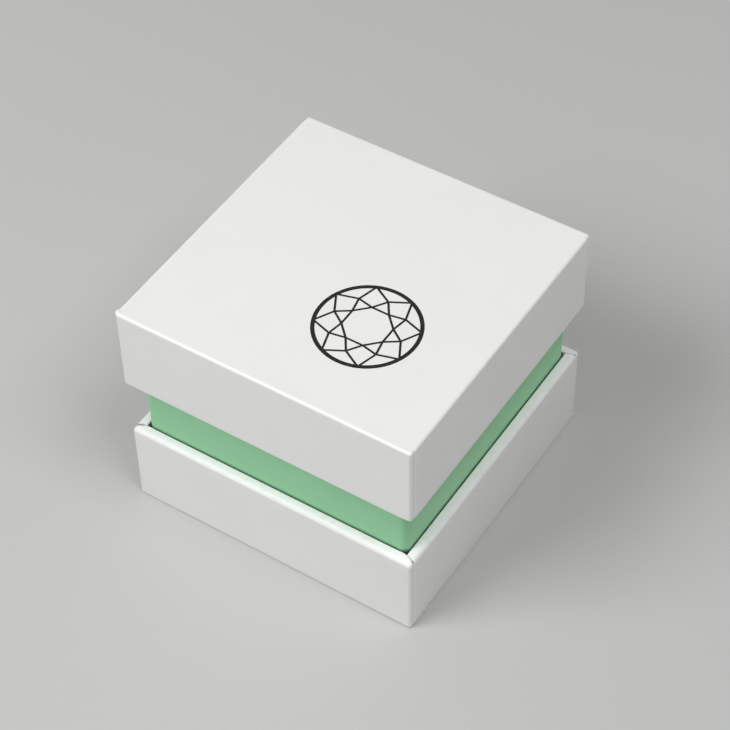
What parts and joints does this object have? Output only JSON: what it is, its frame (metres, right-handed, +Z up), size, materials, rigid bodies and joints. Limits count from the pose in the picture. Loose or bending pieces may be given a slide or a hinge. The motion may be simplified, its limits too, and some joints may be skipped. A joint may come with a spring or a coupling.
{
  "type": "jewelry gift box",
  "caption": "Small square rigid paper gift box for jewelry: base and lift-off lid of equal size over a coloured neck, with a flocked slit insert inside and a foil stamp on the lid.",
  "frame": {"origin": "middle of the base's underside, on the surface the box stands on", "axes": "+Z up through the lid; -Y is the side from which the stamp on the lid reads upright; +X to the right of that side"},
  "size_m": [0.06, 0.06, 0.0484],
  "materials": {
    "white_paper": "satin",
    "mint_paper": "satin",
    "grey_board": "matte",
    "kraft_tape": "matte",
    "white_card": "matte",
    "insert_foam": "matte",
    "white_velvet": "matte",
    "white_sponge": "matte",
    "white_ribbon": "satin",
    "black_foil": "satin"
  },
  "bodies": {
    "base": {"base_board": "grey_board", "base_corner_tapes": "kraft_tape", "base_wrap": "white_paper", "base_liner": "white_paper", "neck_board": "grey_board", "neck_wrap": "mint_paper"},
    "lid": {"lid_board": "grey_board", "lid_corner_tapes": "kraft_tape", "lid_wrap": "white_paper", "lid_liner": "white_paper", "lid_pad": "white_sponge", "lid_stamp": "black_foil"},
    "insert": {"insert_riser": "white_card", "insert_foam": "insert_foam", "insert_cover": "white_velvet", "pull_ribbon": "white_ribbon"}
  },
  "joints": [
    {"name": "lid_lift", "type": "slide", "parent": "base", "child": "lid", "axis": [0, 0, 1], "range_m": [0, 0.06]},
    {"name": "insert_lift", "type": "slide", "parent": "base", "child": "insert", "axis": [0, 0, 1], "range_m": [0, 0.0105]}
  ]
}
